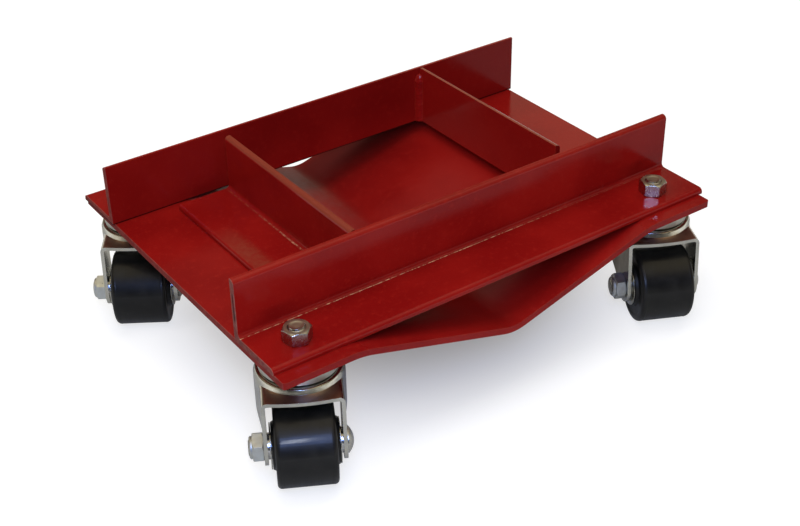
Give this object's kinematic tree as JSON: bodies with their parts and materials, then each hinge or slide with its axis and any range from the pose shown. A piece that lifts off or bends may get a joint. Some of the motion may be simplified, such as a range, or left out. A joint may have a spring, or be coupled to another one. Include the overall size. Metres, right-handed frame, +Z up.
{
  "type": "trailer jack dolly",
  "caption": "Low swivel-caster dolly of painted steel: a V-bent plate with long angles and cross angles forms a pocket that holds a trailer jack's foot or wheel.",
  "frame": {"origin": "on the floor under the middle of the base plate", "axes": "+X along the long angles to the picture's right, +Y to the back, +Z up"},
  "size_m": [0.4213, 0.3361, 0.1418],
  "materials": {
    "red_paint": "gloss enamel on mill-finish steel",
    "zinc": "bright zinc plate",
    "bearing_steel": "ground",
    "wheel_black": "satin moulded"
  },
  "bodies": {
    "dolly_frame": {"base_plate": "red_paint", "front_angle": "red_paint", "rear_angle": "red_paint", "left_cross_angle": "red_paint", "right_cross_angle": "red_paint", "left_weld_bead": "red_paint", "right_weld_bead": "red_paint", "stem_nuts": "zinc", "front_left_stem": "zinc", "front_left_race_cap": "zinc", "front_left_lower_race": "zinc", "front_right_stem": "zinc", "front_right_race_cap": "zinc", "front_right_lower_race": "zinc", "rear_left_stem": "zinc", "rear_left_race_cap": "zinc", "rear_left_lower_race": "zinc", "rear_right_stem": "zinc", "rear_right_race_cap": "zinc", "rear_right_lower_race": "zinc"},
    "front_left_swivel": {"front_left_fork": "zinc", "front_left_balls": "bearing_steel", "front_left_axle_bolt": "zinc", "front_left_axle_nut": "zinc", "front_left_axle_sleeve": "bearing_steel", "front_left_thrust_washers": "zinc"},
    "front_left_roller": {"front_left_wheel": "wheel_black"},
    "front_right_swivel": {"front_right_fork": "zinc", "front_right_balls": "bearing_steel", "front_right_axle_bolt": "zinc", "front_right_axle_nut": "zinc", "front_right_axle_sleeve": "bearing_steel", "front_right_thrust_washers": "zinc"},
    "front_right_roller": {"front_right_wheel": "wheel_black"},
    "rear_left_swivel": {"rear_left_fork": "zinc", "rear_left_balls": "bearing_steel", "rear_left_axle_bolt": "zinc", "rear_left_axle_nut": "zinc", "rear_left_axle_sleeve": "bearing_steel", "rear_left_thrust_washers": "zinc"},
    "rear_left_roller": {"rear_left_wheel": "wheel_black"},
    "rear_right_swivel": {"rear_right_fork": "zinc", "rear_right_balls": "bearing_steel", "rear_right_axle_bolt": "zinc", "rear_right_axle_nut": "zinc", "rear_right_axle_sleeve": "bearing_steel", "rear_right_thrust_washers": "zinc"},
    "rear_right_roller": {"rear_right_wheel": "wheel_black"}
  },
  "joints": [
    {"name": "front_left_swivel_turn", "type": "hinge", "parent": "dolly_frame", "child": "front_left_swivel", "pos_m": [-0.1669, -0.1206, 0.076], "axis": [0, 0, 1], "continuous": true},
    {"name": "front_left_wheel_roll", "type": "hinge", "parent": "front_left_swivel", "child": "front_left_roller", "pos_m": [-0.18164, -0.14787, 0.03], "axis": [0.8796, -0.4756, 0], "continuous": true},
    {"name": "front_right_swivel_turn", "type": "hinge", "parent": "dolly_frame", "child": "front_right_swivel", "pos_m": [0.1655, -0.1206, 0.076], "axis": [0, 0, 1], "continuous": true},
    {"name": "front_right_wheel_roll", "type": "hinge", "parent": "front_right_swivel", "child": "front_right_roller", "pos_m": [0.15181, -0.14841, 0.03], "axis": [0.8973, -0.4415, 0], "continuous": true},
    {"name": "rear_left_swivel_turn", "type": "hinge", "parent": "dolly_frame", "child": "rear_left_swivel", "pos_m": [-0.1669, 0.1206, 0.076], "axis": [0, 0, 1], "continuous": true},
    {"name": "rear_left_wheel_roll", "type": "hinge", "parent": "rear_left_swivel", "child": "rear_left_roller", "pos_m": [-0.18369, 0.09454, 0.03], "axis": [0.8406, -0.5417, 0], "continuous": true},
    {"name": "rear_right_swivel_turn", "type": "hinge", "parent": "dolly_frame", "child": "rear_right_swivel", "pos_m": [0.1655, 0.1206, 0.076], "axis": [0, 0, 1], "continuous": true},
    {"name": "rear_right_wheel_roll", "type": "hinge", "parent": "rear_right_swivel", "child": "rear_right_roller", "pos_m": [0.14953, 0.09403, 0.03], "axis": [0.8572, -0.515, 0], "continuous": true}
  ]
}
